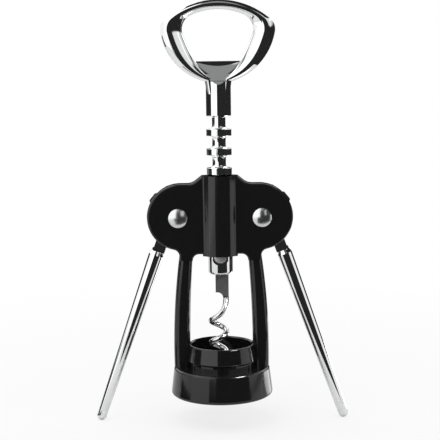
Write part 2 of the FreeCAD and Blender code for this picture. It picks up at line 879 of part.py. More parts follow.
def make_handle():
    """Loop, lip plate, stem and core in one casting."""
    stem_radius = size("<stem_radius>")
    stem_bottom = size(STEM_BOTTOM)
    loop_foot = stem_bottom + size("<loop_foot_rise>")
    hole_foot = stem_bottom + size("<hole_foot_rise>")
    outer = loop_stations(
        size("<loop_half_width>"), stem_bottom + size("<loop_widest_rise>"),
        stem_bottom + size("<loop_top_rise>"), size("<loop_corner_radius>"),
        stem_radius + size("<loop_foot_flare>"), loop_foot, size("<loop_belly_radius>"),
    )
    inner = loop_stations(
        size("<hole_half_width>"), stem_bottom + size("<hole_widest_rise>"),
        stem_bottom + size("<hole_top_rise>"), size("<hole_corner_radius>"),
        size("<hole_foot_half_width>"), hole_foot, size("<hole_belly_radius>"),
    )
    root_height = loop_foot - size("<loop_root_length>")
    outer.append((stem_radius - size("<loop_root_inset>"), root_height))
    inner.append((size("<loop_root_inset>"), root_height))
    last = len(outer) - 1
    ovals = []
    for number in range(-last, last + 1):
        side = -1 if number < 0 else 1
        share = abs(number) / last
        near = FreeCAD.Vector(side * inner[abs(number)][0], 0, inner[abs(number)][1])
        far = FreeCAD.Vector(side * outer[abs(number)][0], 0, outer[abs(number)][1])
        depth = size("<loop_top_depth>") * (1 - share) + size("<loop_foot_depth>") * share
        ovals.append(
            ((near + far) * 0.5, (far - near) * 0.5, FreeCAD.Vector(0, depth / 2, 0))
        )
    loop = smooth_tube(ovals)

    # plate between the loop's lower arms, with a straight lip on top
    lip = stem_bottom + size("<lip_rise>")
    thick = size("<lip_thickness>")
    middles = [((near[0] + far[0]) / 2, (near[1] + far[1]) / 2) for near, far in zip(inner, outer)]
    edge = [(x, z) for x, z in middles[1:] if z < lip]
    edge.insert(0, (edge[0][0], lip))
    corners = [FreeCAD.Vector(x, -thick / 2, z) for x, z in edge]
    corners += [FreeCAD.Vector(-x, -thick / 2, z) for x, z in reversed(edge)]
    plate = Part.Face(Part.makePolygon(corners + corners[:1])).extrude(
        FreeCAD.Vector(0, thick, 0)
    )

    stem = Part.makeCylinder(
        stem_radius, hole_foot - size("<stem_top_drop>") - stem_bottom,
        FreeCAD.Vector(0, 0, stem_bottom),
    )
    core_bottom = size(SOCKET_NECK_TOP) - size("<core_engagement>")
    core = Part.makeCylinder(
        size("<core_radius>"), stem_bottom - core_bottom, FreeCAD.Vector(0, 0, core_bottom)
    )
    return feature_shape("handle", loop.multiFuse([plate, stem, core]))


def make_lever(label, side):
    """A wing: gear head, neck and round arm, drawn about its pivot with the arm along -Z."""
    body = new_body(label)
    disc = circle(body, "gear_root_outline", "XZ_Plane", ("0", "0"), "<gear_root_radius>")
    pad(body, "gear_root", disc, "<gear_thickness>", midplane=True)

    # one tooth drawn upright: radial flanks up to the pitch circle, its involute above that
    pitch_radius = "(<ring_pitch> * <gear_teeth_per_turn> / (2 * pi))"
    tooth_half = "((<ring_pitch> - <ring_thickness> - <gear_backlash>) / 2)"
    half_angle = f"({tooth_half} / {pitch_radius} * 1 rad)"
    round_base = "(<gear_tip_radius> - <gear_tip_round>)"
    base_ratio = f"({round_base} / {pitch_radius})"
    lean = f"(sqrt({base_ratio} ^ 2 - 1) * 1 rad - acos(1 / {base_ratio}))"
    flank_angle = f"({half_angle} - {lean})"
    sunk = "(<gear_root_radius> - <gear_tooth_sink>)"
    flank_x = f"({round_base} * sin({flank_angle}))"
    flank_y = f"({round_base} * cos({flank_angle}))"
    points = [
        (f"{sunk} * sin({half_angle})", f"{sunk} * cos({half_angle})"),
        (f"{pitch_radius} * sin({half_angle})", f"{pitch_radius} * cos({half_angle})"),
        (flank_x, flank_y, "<gear_tip_round>"),
        (f"{flank_x} - <gear_tip_round>", "<gear_tip_radius>"),
    ]
    tooth = outline(
        body, "tooth_outline", "XZ_Plane", both_sides(points),
        turn=f"90 - ({FIRST_TOOTH_ANGLE})",
    )
    tooth_pad = pad(body, "tooth", tooth, "<gear_thickness>", midplane=True)
    teeth = body.newObject("PartDesign::PolarPattern", "teeth")
    teeth.Originals = [tooth_pad]
    teeth.Axis = (origin_plane(body, "Y_Axis"), [""])
    teeth.setExpression("Angle", bound("(<gear_teeth> - 1) * 360 / <gear_teeth_per_turn>"))
    teeth.setExpression("Occurrences", bound("<gear_teeth>"))
    body.Tip = teeth
    doc.recompute()

    neck = outline(
        body,
        "neck_outline",
        "XZ_Plane",
        [
            ("<neck_offset> - <neck_width> / 2", "0"),
            ("<neck_offset> - <neck_width> / 2", "-<neck_end>"),
            ("<neck_offset> + <neck_width> / 2", "-<neck_end>"),
            ("<neck_offset> + <neck_width> / 2", "0"),
        ],
    )
    pad(body, "neck", neck, "<gear_thickness>", midplane=True)
    arm = outline(
        body,
        "arm_section",
        "XZ_Plane",
        [
            ("0", "-(<neck_end> - <neck_sink>)"),
            ("0", "-<arm_end>", "<arm_end_radius>"),
            ("<arm_end_radius>", "-(<arm_end> - <arm_end_radius>)"),
            ("<arm_start_radius>", "-<arm_start>"),
            ("<gear_thickness> / 2", "-<neck_end>"),
            ("<gear_thickness> / 2", "-(<neck_end> - <neck_sink>)"),
        ],
        shift=("<wing_offset>", "0"),
    )
    revolve(body, "arm", arm)
    hole = circle(
        body, "pivot_outline", "XZ_Plane", ("0", "0"), "<sleeve_radius> + <pivot_clearance>"
    )
    pocket(body, "pivot", hole, "<gear_thickness>", midplane=True)
    middle = f"create(<<vector>>; {side} * <pivot_half_spacing>; 0; <pivot_height>)"
    turned = f"create(<<rotation>>; {90 - 90 * side}; -<wing_angle>; 0)"
    place = f"create(<<placement>>; {middle}; {turned})"
    for alias in SIZES:
        place = place.replace(f"<{alias}>", f"sizes.{alias}")
    body.setExpression("Placement", place)
    doc.recompute()
    return body


# the tooth that stands in the rack's gap next to the pivot at rest, counted from the gear's
# inner side towards the top, and the first tooth below it
MESHING_GAP = "(<top_ring_height> - (<ring_count> - 1.5) * <ring_pitch>)"
MESHING_ANGLE = (
    f"(<wing_angle> + ({MESHING_GAP} - <pivot_height>)"
    " / (<ring_pitch> * <gear_teeth_per_turn>) * 360)"
)
FIRST_TOOTH_ANGLE = f"{MESHING_ANGLE} - 360 / <gear_teeth_per_turn>"


def pivot_piece(label, section):
    """Two like turned pieces, one on each pivot, from a section drawn about the right one."""
    body = new_body(label)
    body.AllowCompound = True
    profile = outline(
        body, f"{label}_section", "XY_Plane", section, offset="<pivot_height>",
        shift=("<pivot_half_spacing>", "0"),
    )
    turned = revolve(body, f"{label}_turn", profile)
    mirror_sides(body, f"{label}_pair", [turned])
    return body


def make_pivot_rivets():
    """Each pivot is a domed pin at the front, pressed into a domed sleeve from the back."""
    cheek = "(<cheek_depth> / 2)"
    crown = dome_radius("<head_radius>", "(<head_height> - <head_edge>)")
    pin_end = "(<cheek_depth> / 2 - <head_edge>)"
    pins = [
        ("0", f"-({cheek} + <head_height>)", crown),
        ("<head_radius>", f"-({cheek} + <head_edge>)"),
        ("<head_radius>", f"-{cheek}"),
        ("<pin_radius>", f"-{cheek}"),
        ("<pin_radius>", pin_end),
        ("0", pin_end),
    ]
    bore = "(<pin_radius> + <press_clearance>)"
    sleeves = [
        ("0", f"{cheek} + <head_height>"),
        ("0", f"{pin_end} + <sleeve_end_gap>"),
        (bore, f"{pin_end} + <sleeve_end_gap>"),
        (bore, f"-({cheek} - <sleeve_end_gap>)"),
        ("<sleeve_radius>", f"-({cheek} - <sleeve_end_gap>)"),
        ("<sleeve_radius>", cheek),
        ("<head_radius>", cheek),
        ("<head_radius>", f"{cheek} + <head_edge>", crown),
    ]
    return [
        pivot_piece("pivot_rivet_pins", pins),
        pivot_piece("pivot_rivet_sleeves", sleeves),
    ]


pieces = [
    make_frame_casting(),
    make_bell(),
    make_seat(),
    make_rack(),
    make_handle(),
    make_socket(),
    make_worm_rivet(),
    make_worm(),
    make_lever("right_lever", 1),
    make_lever("left_lever", -1),
    *make_pivot_rivets(),
]
doc.recompute()

failed = [obj.Label for obj in doc.Objects if "Invalid" in obj.State or "Error" in obj.State]
failed += [piece.Label for piece in pieces if piece.Shape.isNull() or not piece.Shape.isValid()]
if failed:
    raise RuntimeError(f"failed: {failed}")
os.makedirs("parts", exist_ok=True)
for piece in pieces:
    piece.Shape.exportStep(f"parts/{piece.Label}.step")
    print(piece.Label, len(piece.Shape.Solids), round(piece.Shape.Volume, 1))
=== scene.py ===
import json
import math

import bmesh
import bpy
from mathutils import Matrix, Vector


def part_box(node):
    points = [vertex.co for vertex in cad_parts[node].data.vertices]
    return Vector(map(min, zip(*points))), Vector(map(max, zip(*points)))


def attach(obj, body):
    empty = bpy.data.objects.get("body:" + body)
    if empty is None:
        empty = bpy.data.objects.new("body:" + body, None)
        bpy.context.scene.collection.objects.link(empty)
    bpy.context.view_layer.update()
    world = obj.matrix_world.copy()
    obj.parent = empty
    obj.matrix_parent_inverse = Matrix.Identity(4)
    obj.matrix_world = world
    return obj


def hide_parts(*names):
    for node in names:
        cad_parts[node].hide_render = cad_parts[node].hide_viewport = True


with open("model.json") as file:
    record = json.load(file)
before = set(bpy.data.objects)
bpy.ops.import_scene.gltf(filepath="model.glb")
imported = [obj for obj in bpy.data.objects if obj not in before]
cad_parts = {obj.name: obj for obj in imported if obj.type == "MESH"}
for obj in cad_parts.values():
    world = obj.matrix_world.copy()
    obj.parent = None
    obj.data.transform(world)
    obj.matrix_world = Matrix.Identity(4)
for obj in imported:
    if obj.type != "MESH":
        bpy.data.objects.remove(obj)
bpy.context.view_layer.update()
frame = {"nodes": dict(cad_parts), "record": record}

MM = 0.001

# the camera of the photographed view: metres and degrees, lens and sensor in millimetres
CAMERA_PLACE = (0, -0.466, 0.13095)
CAMERA_PITCH = -6.5
CAMERA_ROLL = -0.75
CAMERA_LENS = 86.73
SENSOR_WIDTH = 36
CAMERA_NEAR = 0.01


# ---------------------------------------------------------------- node helpers

WHITE = (1, 1, 1, 1)
# the mix node's colour sockets
MIX_FIRST = 6
MIX_SECOND = 7
MIX_RESULT = 2


def new_material(name):
    """A new material with its node tree and its Principled shader."""
    material = bpy.data.materials.new(name)
    material.use_nodes = True
    tree = material.node_tree
    return material, tree, tree.nodes["Principled BSDF"]


def node(tree, kind, inputs=None, **settings):
    """A node whose inputs are linked, where a socket is given, or else set."""
    made = tree.nodes.new(kind)
    for key, value in settings.items():
        setattr(made, key, value)
    for socket, value in (inputs or {}).items():
        if isinstance(value, bpy.types.NodeSocket):
            tree.links.new(value, made.inputs[socket])
        else:
            made.inputs[socket].default_value = value
    return made


def math_node(tree, operation, first, second=0.0):
    made = node(tree, "ShaderNodeMath", {0: first, 1: second}, operation=operation)
    return made.outputs[0]


def noise(tree, scale, detail, roughness, stretch=(1, 1, 1)):
    """Noise in object space, with scale in cells per metre."""
    place = node(tree, "ShaderNodeTexCoord").outputs["Object"]
    mapped = node(tree, "ShaderNodeMapping", {"Vector": place, "Scale": stretch})
    made = node(
        tree, "ShaderNodeTexNoise",
        {"Vector": mapped.outputs[0], "Scale": scale, "Detail": detail, "Roughness": roughness},
    )
    return made.outputs["Fac"]


def ramp(tree, value, low, high, out_low, out_high):
    """A value's way from low to high, as a way from out_low to out_high."""
    made = node(
        tree, "ShaderNodeMapRange",
        {"Value": value, "From Min": low, "From Max": high, "To Min": out_low, "To Max": out_high},
    )
    return made.outputs["Result"]


def bump(tree, shader, height, strength, distance):
    """Relief on a shader's surface, with its full height in metres as distance."""
    made = node(
        tree, "ShaderNodeBump",
        {"Height": height, "Strength": strength, "Distance": distance},
    )
    tree.links.new(made.outputs["Normal"], shader.inputs["Normal"])


def colour_mix(tree, factor, first, second):
    """A mix of two colours, each a socket or the value of an opaque colour."""
    sides = [
        side if isinstance(side, bpy.types.NodeSocket) else (*side, 1)
        for side in (first, second)
    ]
    made = node(
        tree, "ShaderNodeMix",
        {"Factor": factor, MIX_FIRST: sides[0], MIX_SECOND: sides[1]}, data_type="RGBA",
    )
    return made.outputs[MIX_RESULT]


def feed(tree, shader, colour, roughness):
    tree.links.new(colour, shader.inputs["Base Color"])
    tree.links.new(roughness, shader.inputs["Roughness"])


# ---------------------------------------------------------------- materials

# noise in cells per metre
SMUDGE_CELLS = 90
RIPPLE_CELLS = 160
PATCH_CELLS = 60
PEEL_CELLS = 900
STEEL_CELLS = 700
NYLON_CELLS = 1500
# spans of a noise's values that are drawn out over a whole range
NOISE_SPAN = (0.3, 0.7)
SMUDGE_SPAN = (0.3, 0.75)
SMUDGE_TINT_SPAN = (0.35, 0.7)
# full heights of the relief, in metres
RIPPLE_HEIGHT = 0.0002
FINE_HEIGHT = 0.0001

CAST_TINT = (0.86, 0.865, 0.87)
RIVET_TINT = (0.72, 0.725, 0.73)
SMUDGE_SHADE = 0.93
# turned plate: its ripple is pressed flat along Z, so that it runs round the piece
TURNED_GRAIN = (1, 1, 8)
ENAMEL_TINTS = ((0.0065, 0.0065, 0.007), (0.0085, 0.0085, 0.009))
ENAMEL_ROUGHNESS = (0.07, 0.12)
ENAMEL_IOR = 1.5
COIL_TINTS = ((0.62, 0.62, 0.625), (0.74, 0.74, 0.745))
COIL_ROUGHNESS = (0.08, 0.14)
# the tang's colour, darker than the coil's: painted shade under the socket
TANG_PAINTED_SHADE_TINTS = ((0.2, 0.2, 0.2), (0.24, 0.24, 0.24))
TANG_DULLNESS = 0.35
# heights in metres between which the bright coil gives way to the dull tang, darkened as painted
# shade under the socket, and between which its tint turns light again, in the socket
TANG_FADE = (0.0425, 0.0445)
TANG_END = (0.054, 0.0545)
NYLON_TINTS = ((0.016, 0.016, 0.017), (0.026, 0.026, 0.027))
NYLON_ROUGHNESS = (0.42, 0.55)


def chrome(name, tint, roughness, smudge, ripple, grain=(1, 1, 1)):
    """Bright plate: faint smudges in its colour and roughness, and a slight ripple."""
    material, tree, shader = new_material(name)
    shader.inputs["Metallic"].default_value = 1.0
    smudges = noise(tree, SMUDGE_CELLS, detail=4.0, roughness=0.6)
    shaded = tuple(channel * SMUDGE_SHADE for channel in tint)
    feed(
        tree, shader,
        colour_mix(tree, ramp(tree, smudges, *SMUDGE_TINT_SPAN, 0, 1), tint, shaded),
        ramp(tree, smudges, *SMUDGE_SPAN, roughness, roughness + smudge),
    )
    ripples = noise(tree, RIPPLE_CELLS, detail=2.0, roughness=0.4, stretch=grain)
    bump(tree, shader, ripples, strength=ripple, distance=RIPPLE_HEIGHT)
    return material


def enamel(name):
    """Gloss black enamel over a casting, with a fine orange peel."""
    material, tree, shader = new_material(name)
    shader.inputs["IOR"].default_value = ENAMEL_IOR
    patches = noise(tree, PATCH_CELLS, detail=3.0, roughness=0.6)
    feed(
        tree, shader,
        colour_mix(tree, patches, *ENAMEL_TINTS),
        ramp(tree, patches, *NOISE_SPAN, *ENAMEL_ROUGHNESS),
    )
    peel = noise(tree, PEEL_CELLS, detail=2.0, roughness=0.5)
    bump(tree, shader, peel, strength=0.06, distance=FINE_HEIGHT)
    return material


def wire_steel(name):
    """Plated steel: bright coil, duller pressed tang above it, darkened there as painted shade."""
    material, tree, shader = new_material(name)
    shader.inputs["Metallic"].default_value = 1.0
    grain = noise(tree, STEEL_CELLS, detail=4.0, roughness=0.6)
    place = node(tree, "ShaderNodeTexCoord").outputs["Object"]
    height = node(tree, "ShaderNodeSeparateXYZ", {0: place}).outputs["Z"]
    # the tang's stretch under the socket, where its colour is darkened as painted shade
    painted_shade_mask = math_node(
        tree, "MINIMUM", ramp(tree, height, *TANG_FADE, 0, 1), ramp(tree, height, *TANG_END, 1, 0)
    )
    coil = colour_mix(tree, grain, *COIL_TINTS)
    # the tang's colour, darkened as painted shade
    tang = colour_mix(tree, grain, *TANG_PAINTED_SHADE_TINTS)
    bright = ramp(tree, grain, *NOISE_SPAN, *COIL_ROUGHNESS)
    dull = ramp(tree, height, *TANG_FADE, 0, TANG_DULLNESS)
    feed(
        tree, shader,
        colour_mix(tree, painted_shade_mask, coil, tang),
        math_node(tree, "ADD", bright, dull),
    )
    bump(tree, shader, grain, strength=0.06, distance=FINE_HEIGHT)
    return material


def nylon(name):
    """Dull black nylon with a fine grain."""
    material, tree, shader = new_material(name)
    grain = noise(tree, NYLON_CELLS, detail=3.0, roughness=0.6)
    feed(
        tree, shader,
        colour_mix(tree, grain, *NYLON_TINTS),
        ramp(tree, grain, *NOISE_SPAN, *NYLON_ROUGHNESS),
    )
    bump(tree, shader, grain, strength=0.15, distance=FINE_HEIGHT)
    return material


MATERIALS = {
    "chrome_cast": chrome("chrome_cast", CAST_TINT, roughness=0.03, smudge=0.03, ripple=0.02),
    "chrome_turned": chrome(
        "chrome_turned", CAST_TINT, roughness=0.05, smudge=0.05, ripple=0.03, grain=TURNED_GRAIN
    ),
    "chrome_rivet": chrome("chrome_rivet", RIVET_TINT, roughness=0.2, smudge=0.1, ripple=0.05),
    "worm_steel": wire_steel("worm_steel"),
    "black_enamel": enamel("black_enamel"),
    "nylon": nylon("nylon"),
}


def paint(piece, material):
    piece.data.materials.clear()
    piece.data.materials.append(material)


for row in frame["record"]["subparts"]:
    paint(frame["nodes"][row["node"]], MATERIALS[row["material_slot"]])


# ---------------------------------------------------------------- mesh helpers

LATHE_STEPS = 96


def body_of(node_name):
    bodies = frame["record"]["behaviour"]["bodies"]
    return next(name for name, nodes in bodies.items() if node_name in nodes)


def new_piece(name, build, node_name, slot, sharp_angle):
    """A piece in the place of a CAD node, from build, which fills a bmesh in millimetres."""
    shape = bmesh.new()
    build(shape)
    bmesh.ops.scale(shape, vec=(MM, MM, MM), verts=shape.verts)
    bmesh.ops.recalc_face_normals(shape, faces=shape.faces)
    mesh = bpy.data.meshes.new(name)
    shape.to_mesh(mesh)
    shape.free()
    mesh.polygons.foreach_set("use_smooth", [True] * len(mesh.polygons))
    mesh.set_sharp_from_angle(angle=math.radians(sharp_angle))
    piece = bpy.data.objects.new(name, mesh)
    bpy.context.collection.objects.link(piece)
    paint(piece, MATERIALS[slot])
    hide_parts(node_name)
    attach(piece, body_of(node_name))


def add_tube(shape, rings, endless=False):
    """A closed skin over rings of points: with a cap on each end, or endless."""
    rows = [[shape.verts.new(point) for point in ring] for ring in rings]
    following = rows[1:] + rows[:1] if endless else rows[1:]
    for low, high in zip(rows, following):
        for index in range(len(low)):
            after = (index + 1) % len(low)
            shape.faces.new((low[index], low[after], high[after], high[index]))
    if not endless:
        shape.faces.new(rows[0][::-1])
        shape.faces.new(rows[-1])


def turn_angles(steps):
    """The angles of a full turn in equal steps."""
    return [2 * math.pi * step / steps for step in range(steps)]


def add_lathe(shape, profile, steps=LATHE_STEPS):
    """A solid turned about Z, from points (radius, height) up its side."""
    angles = turn_angles(steps)
    add_tube(shape, [
        [(radius * math.cos(a), radius * math.sin(a), height) for a in angles]
        for radius, height in profile
    ])


def add_turned_ring(shape, section, steps=LATHE_STEPS):
    """A ring turned about Z, from a closed section of points (radius, height)."""
    rings = [
        [(radius * math.cos(a), radius * math.sin(a), height) for radius, height in section]
        for a in turn_angles(steps)
    ]
    add_tube(shape, rings, endless=True)


# ---------------------------------------------------------------- rack

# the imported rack's sizes in millimetres, but for its finer ring edges and the added fillets
TOP_RING = 116.5
RING_PITCH = 8.45
RING_COUNT = 6
RING_RADIUS = 5.5
RING_HALF = 1.5
RING_CHAMFER = 0.15
RACK_NECK = 2.95
RACK_BORE = 1.65
RACK_TOP = 123.4
RACK_EDGE = 0.3
RACK_FILLET = 1.3
FILLET_STEPS = 6


def build_rack(shape):
    """The rack: its section runs from the bore's lower end up the outside to the bore's top."""
    section = [(RACK_BORE, TOP_RING - (RING_COUNT - 1) * RING_PITCH - RING_HALF)]
    quarters = [math.pi / 2 * step / FILLET_STEPS for step in range(FILLET_STEPS + 1)]
    corner = RACK_NECK + RACK_FILLET
    for number in reversed(range(RING_COUNT)):
        middle = TOP_RING - number * RING_PITCH
        under = middle - RING_HALF
        over = middle + RING_HALF
        if number < RING_COUNT - 1:
            section += [
                (corner - RACK_FILLET * math.cos(a), under - RACK_FILLET * (1 - math.sin(a)))
                for a in quarters
            ]
        section += [
            (RING_RADIUS - RING_CHAMFER, under),
            (RING_RADIUS, under + RING_CHAMFER),
            (RING_RADIUS, over - RING_CHAMFER),
            (RING_RADIUS - RING_CHAMFER, over),
        ]
        section += [
            (corner - RACK_FILLET * math.sin(a), over + RACK_FILLET * (1 - math.cos(a)))
            for a in quarters
        ]
    section += [
        (RACK_NECK, RACK_TOP - RACK_EDGE),
        (RACK_NECK - RACK_EDGE, RACK_TOP),
        (RACK_BORE, RACK_TOP),
    ]
    add_turned_ring(shape, section)


new_piece("rack_turned", build_rack, "rack_sleeve", "chrome_turned", sharp_angle=30)


# ---------------------------------------------------------------- worm

# sizes in millimetres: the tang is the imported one, the coil's wire is a little thicker and
# starts to wind at once, where the tang ends
TANG_HALF = 1.2
TANG_LEFT = -2.35
TANG_RIGHT = 3.45
TANG_TOP = 64.2
TANG_BOTTOM = 45.6
LEG_TOP = 43.1
THROAT_STEPS = 8
WIRE_LAP = 0.6
WIRE_RADIUS = 1.25
COIL_RADIUS = 3.4
COIL_MIDDLE = -1.15
COIL_PITCH = 9.6
COIL_TURNS = 2.75
# the coil's first stretch falls faster: by how much in all, and how soon in turns
COIL_DROP = 5.9
COIL_DROP_TURNS = 0.13
COIL_STEPS = 132
WIRE_SIDES = 20
POINT_LENGTH = 5.0
POINT_RADIUS = 0.12


def worm_path():
    """The wire's middle, from inside the tang down the coil."""
    points = [Vector((COIL_MIDDLE + COIL_RADIUS, 0, LEG_TOP + WIRE_LAP))]
    for step in range(COIL_STEPS + 1):
        turn = COIL_TURNS * step / COIL_STEPS
        angle = -2 * math.pi * turn
        drop = COIL_DROP * (1 - math.exp(-turn / COIL_DROP_TURNS))
        points.append(Vector((
            COIL_MIDDLE + COIL_RADIUS * math.cos(angle),
            COIL_RADIUS * math.sin(angle),
            LEG_TOP - drop - COIL_PITCH * turn,
        )))
    return points


def add_wire(shape, path):
    """A round wire along a path, drawn out to a point at the end."""
    left = sum((b - a).length for a, b in zip(path, path[1:]))
    across = Vector((1, 0, 0))
    angles = turn_angles(WIRE_SIDES)
    rings = []
    for number, point in enumerate(path):
        before = path[max(number - 1, 0)]
        after = path[min(number + 1, len(path) - 1)]
        forward = (after - before).normalized()
        across = (across - forward * across.dot(forward)).normalized()
        aside = forward.cross(across)
        if number:
            left -= (point - before).length
        radius = min(WIRE_RADIUS, max(left / POINT_LENGTH * WIRE_RADIUS, POINT_RADIUS))
        rings.append([
            point + (across * math.cos(a) + aside * math.sin(a)) * radius for a in angles
        ])
    add_tube(shape, rings)


def build_worm(shape):
    """The flat tang, whose left side turns through a quarter arc to the wire, and the wire."""
    wire_left = TANG_RIGHT - 2 * WIRE_RADIUS
    throat = TANG_BOTTOM - LEG_TOP
    border = [
        (TANG_RIGHT, LEG_TOP),
        (TANG_RIGHT, TANG_TOP),
        (TANG_LEFT, TANG_TOP),
        (TANG_LEFT, TANG_BOTTOM),
    ]
    for step in range(THROAT_STEPS + 1):
        angle = math.pi / 2 * (1 - step / THROAT_STEPS)
        border.append((
            wire_left - throat * (1 - math.cos(angle)), LEG_TOP + throat * math.sin(angle)
        ))
    add_tube(shape, [[(x, y, z) for x, z in border] for y in (-TANG_HALF, TANG_HALF)])
    add_wire(shape, worm_path())


new_piece("worm_drawn", build_worm, "worm", "worm_steel", sharp_angle=35)


# ---------------------------------------------------------------- handle

# sizes in millimetres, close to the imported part's; STEM_BOTTOM and CORE_BOTTOM are heights in
# the part, and the other heights are above STEM_BOTTOM
STEM_BOTTOM = 123.5
STEM_RADIUS = 5.45
STEM_EDGE = 0.35
STEM_TOP = 15.4
CORE_BOTTOM = 59.4
CORE_RADIUS = 1.6
CORE_EDGE = 0.2
CORE_LAP = 1.0
CORE_STEPS = 32
LOOP_HALF_WIDTH = 25.0
LOOP_WIDEST = 37.4
LOOP_TOP = 50.3
LOOP_CORNER = 6.0
LOOP_BELLY = 27.0
LOOP_FOOT = (5.8, 15.2)
HOLE_HALF_WIDTH = 15.5
HOLE_WIDEST = 37.6
HOLE_TOP = 46.3
HOLE_CORNER = 7.0
HOLE_TURN = math.radians(20)
HOLE_FOOT = (0.9, 16.7)
HOLE_FOOT_ANGLE = math.radians(30)
# how far the hole's flank, a Bezier curve, is pulled at its start and at its foot
HOLE_START_PULL = 12.0
HOLE_FOOT_PULL = 7.0
CROWN_STEPS = 40
CORNER_STEPS = 24
FLANK_STEPS = 48
# the loop's ends are sunk in the stem: how deep, how far inside its skin, and from its middle
ROOT_DEPTH = 5.5
ROOT_INSET = 0.5
ROOT_MIDDLE = 0.3
TOP_HALF_DEPTH = 3.3
FOOT_HALF_DEPTH = 4.5
# where the crest lies between the hole (0) and the outside (1): on top, and down the sides
TOP_CREST = 0.36
SIDE_CREST = 0.64
# shares of the way from the loop's top to its foot: where the crest has moved over, and
# between which the facet fades
CREST_SHIFT = 0.35
FACET_FADE = (0.36, 0.52)
# half of the loop's section, from the crest (0, 1) out to its edge (1, 0): two Bezier curves
ROUND_CURVES = [
    ((0.0, 1.0), (0.4, 1.0), (0.58, 0.86), (0.92, 0.4)),
    ((0.92, 0.4), (0.97, 0.318), (1.0, 0.2), (1.0, 0.0)),
]
# the outer half over the loop's top, where a nearly flat facet leans outward
FACET_CURVES = [
    ((0.0, 1.0), (0.35, 1.0), (0.55, 0.9), (0.9, 0.74)),
    ((0.9, 0.74), (0.98, 0.7), (1.0, 0.5), (1.0, 0.0)),
]
CURVE_STEPS = (14, 8)
# the web: a thin lip with a shallow arc under it, then faces that slope outward to the stem
LIP = 23.9
LIP_SAG = 2.1
# the share of the web's half width that the arc spans
LIP_ARC = 0.76
LIP_EDGE = 0.08
LIP_FACE = 1.5
WEB_SLOPE = 0.49
WEB_FOOT = 15.0
WEB_COLUMNS = 28
WEB_ROWS = 16
WEB_MARGIN = 1.0
# how fast the lip's arc straightens out down the web
WEB_BLEND = 1.6


def arc_points(centre, radius, first, last, steps):
    """Points along an arc, without its end point."""
    angles = [first + (last - first) * step / steps for step in range(steps)]
    return [Vector((centre[0] + radius * math.cos(a), centre[1] + radius * math.sin(a)))
            for a in angles]


def bezier_points(corners, steps):
    """Points along a cubic Bezier curve, without its end point."""
    points = []
    for step in range(steps):
        t = step / steps
        s = 1 - t
        weights = (s ** 3, 3 * s * s * t, 3 * s * t * t, t ** 3)
        points.append(sum((Vector(c) * w for c, w in zip(corners, weights)), Vector((0, 0))))
    return points


def crown_arc(half_width, widest, top, corner):
    """Centre height and radius of the arc over an outline's top, and the angle where it ends."""
    run = half_width - corner
    rise = top - widest
    radius = (run ** 2 + rise ** 2 - corner ** 2) / (2 * (rise - corner))
    return top - radius, radius, math.atan2(widest - top + radius, run)


def outer_outline():
    """Down the right half of the loop's outside: crown, corner and belly, all arcs."""
    run = LOOP_HALF_WIDTH - LOOP_CORNER
    centre, radius, crown_end = crown_arc(LOOP_HALF_WIDTH, LOOP_WIDEST, LOOP_TOP, LOOP_CORNER)
    foot = Vector(LOOP_FOOT)
    gap = foot - Vector((run, LOOP_WIDEST))
    near = LOOP_BELLY - LOOP_CORNER
    along = (near ** 2 - LOOP_BELLY ** 2 + gap.length_squared) / (2 * gap.length)
    aside = math.sqrt(near ** 2 - along ** 2)
    towards = gap.normalized()
    belly = Vector((run, LOOP_WIDEST)) + towards * along + Vector((towards.y, -towards.x)) * aside
    corner_end = math.atan2(LOOP_WIDEST - belly.y, run - belly.x)
    belly_end = math.atan2(foot.y - belly.y, foot.x - belly.x)
    return (
        arc_points((0, centre), radius, math.pi / 2, crown_end, CROWN_STEPS)
        + arc_points((run, LOOP_WIDEST), LOOP_CORNER, crown_end, corner_end, CORNER_STEPS)
        + arc_points(belly, LOOP_BELLY, corner_end, belly_end, FLANK_STEPS)
        + [foot]
    )


def hole_outline():
    """Down the right half of the hole: crown and corner arcs, then nearly straight, and in."""
    run = HOLE_HALF_WIDTH - HOLE_CORNER
    centre, radius, crown_end = crown_arc(HOLE_HALF_WIDTH, HOLE_WIDEST, HOLE_TOP, HOLE_CORNER)
    across = Vector((math.cos(HOLE_TURN), -math.sin(HOLE_TURN)))
    start = Vector((run, HOLE_WIDEST)) + across * HOLE_CORNER
    foot = Vector(HOLE_FOOT)
    leaving = Vector((across.y, -across.x)) * HOLE_START_PULL
    inward = Vector((math.cos(HOLE_FOOT_ANGLE), math.sin(HOLE_FOOT_ANGLE)))
    arriving = inward * HOLE_FOOT_PULL
    return (
        arc_points((0, centre), radius, math.pi / 2, crown_end, CROWN_STEPS)
        + arc_points((run, HOLE_WIDEST), HOLE_CORNER, crown_end, -HOLE_TURN, CORNER_STEPS)
        + bezier_points([start, start + leaving, foot + arriving, foot], FLANK_STEPS)
        + [foot]
    )


def half_section(curves):
    """Points from the crest to the edge, along two Bezier curves."""
    upper, lower = (bezier_points(corners, steps) for corners, steps in zip(curves, CURVE_STEPS))
    return upper + lower + [Vector(curves[-1][-1])]


ROUND_HALF = half_section(ROUND_CURVES)
FACET_HALF = half_section(FACET_CURVES)


def loop_section(crest_share, facet):
    """The whole section (across, depth): across from -1 at the hole to 1 outside."""
    crest = 2 * crest_share - 1
    outer_half = [a.lerp(b, facet) for a, b in zip(ROUND_HALF, FACET_HALF)]
    outer = [(crest + (1 - crest) * x, -y) for x, y in outer_half]
    inner = [(crest - (1 + crest) * x, -y) for x, y in ROUND_HALF[::-1]]
    front = inner + outer[1:]
    back = [(x, -y) for x, y in front[::-1]]
    return front + back[1:-1]


def smooth_step(value, low, high):
    """0 up to low, 1 from high on, and a smooth way between."""
    share = min(max((value - low) / (high - low), 0), 1)
    return share ** 2 * (3 - 2 * share)


